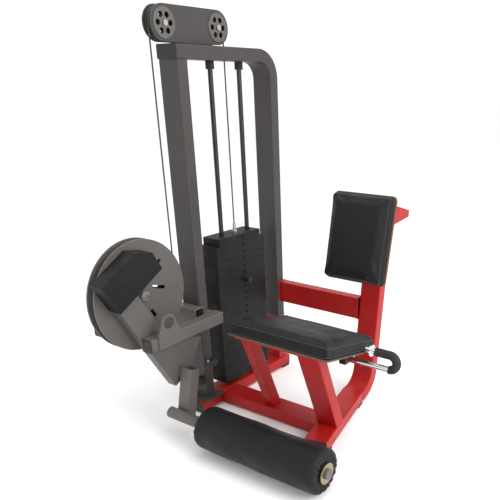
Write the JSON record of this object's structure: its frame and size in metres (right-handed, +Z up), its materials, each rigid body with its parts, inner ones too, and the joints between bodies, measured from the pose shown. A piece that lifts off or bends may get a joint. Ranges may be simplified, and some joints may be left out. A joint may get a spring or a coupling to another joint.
{
  "type": "seated leg machine",
  "caption": "Seated strength machine: swinging ankle roller on a cam wheel, cable and weight stack tower, tilted seat and back pad on a red frame.",
  "frame": {"origin": "middle of the machine's footprint, on the floor", "axes": "+X from the weight tower to the seat, +Y from the feet to the back rest, +Z up"},
  "size_m": [1.1414, 1.3062, 1.612],
  "materials": {
    "frame_grey": "satin",
    "arm_grey": "satin",
    "frame_red": "satin",
    "plates": "matt",
    "steel": "brushed",
    "chrome": "polished",
    "rods": "dark oiled",
    "cable": "sleeved",
    "rubber": "matt",
    "plastic": "moulded",
    "vinyl": "grained",
    "roller_vinyl": "grained",
    "plywood": "raw edge",
    "washer": "satin"
  },
  "bodies": {
    "root": {"base_bar": "frame_red", "front_post": "frame_grey", "rear_stub": "frame_red", "rear_post": "frame_grey", "top_beam": "frame_grey", "tube_caps": "plastic", "rubber_feet": "rubber", "pulley_plates": "frame_grey", "pulley_covers": "arm_grey", "pulley_bolts": "steel", "front_guide_rod": "rods", "rear_guide_rod": "rods", "rod_collars": "rubber", "stack_cushions": "rubber", "resting_plates": "plates", "stack_cable": "cable", "front_cable": "cable", "near_fork_tube": "arm_grey", "far_fork_tube": "arm_grey", "fork_cross_tube": "arm_grey", "lug_plate": "arm_grey", "bearing_housing": "arm_grey", "pivot_bearings": "steel", "stop_bumper": "rubber", "pull_pin_sleeve": "steel", "cross_beam": "frame_red", "base_rail": "frame_red", "right_foot": "frame_red", "upright_bend": "frame_red", "upright": "frame_red", "top_bracket": "frame_red", "left_strut": "frame_red", "right_strut": "frame_red", "seat_channel": "frame_red", "seat_cushion": "vinyl", "seat_board": "plywood", "seat_bolts": "steel", "back_cushion": "vinyl", "back_board": "plywood", "back_bracket": "frame_red", "handle_bar": "chrome", "handle_grips": "rubber", "handle_clamps": "plastic"},
    "stack": {"picked_plates": "plates", "head_plate": "plates", "selector_rod": "steel", "cable_eye": "steel"},
    "pin": {"selector_pin": "plastic"},
    "lever": {"cam_cable": "cable", "pivot_shaft": "steel", "cam_wheel": "arm_grey", "lever_tube": "arm_grey", "counterweight": "plates", "roller_arm": "arm_grey", "roller_axle": "arm_grey"},
    "roller": {"roller_core": "washer", "roller_foam": "roller_vinyl"},
    "pull_knob": {"pull_pin": "plastic"},
    "pulley_front": {"front_pulley": "plastic"},
    "pulley_rear": {"rear_pulley": "plastic"}
  },
  "joints": [
    {"name": "stack_lift", "type": "slide", "parent": "root", "child": "stack", "axis": [0, 0, 1], "range_m": [0, 0.315], "deforming": ["stack_cable"]},
    {"name": "lever_swing", "type": "hinge", "parent": "root", "child": "lever", "pos_m": [-0.35875, -0.43088, 0.615], "axis": [-1, 0, 0], "range_deg": [0, 95]},
    {"name": "roller_spin", "type": "hinge", "parent": "lever", "child": "roller", "pos_m": [0.19125, -0.39588, 0.102], "axis": [1, 0, 0], "continuous": true},
    {"name": "pulley_front_spin", "type": "hinge", "parent": "root", "child": "pulley_front", "pos_m": [-0.35875, -0.18888, 1.552], "axis": [1, 0, 0], "range_deg": [0, 348]},
    {"name": "pulley_rear_spin", "type": "hinge", "parent": "root", "child": "pulley_rear", "pos_m": [-0.35875, 0.08162, 1.552], "axis": [1, 0, 0], "range_deg": [0, 348]},
    {"name": "pin_slide", "type": "slide", "parent": "stack", "child": "pin", "axis": [1, 0, 0], "range_m": [0, 0.06]},
    {"name": "pull_knob_slide", "type": "slide", "parent": "root", "child": "pull_knob", "axis": [1, 0, 0], "range_m": [0, 0.012], "stiffness_N_per_m": 800}
  ],
  "couplings": [
    {"joint": "lever_swing", "follows": "stack_lift", "rad_per_m": 5.2632},
    {"joint": "pulley_front_spin", "follows": "stack_lift", "rad_per_m": 19.231},
    {"joint": "pulley_rear_spin", "follows": "stack_lift", "rad_per_m": 19.231}
  ]
}
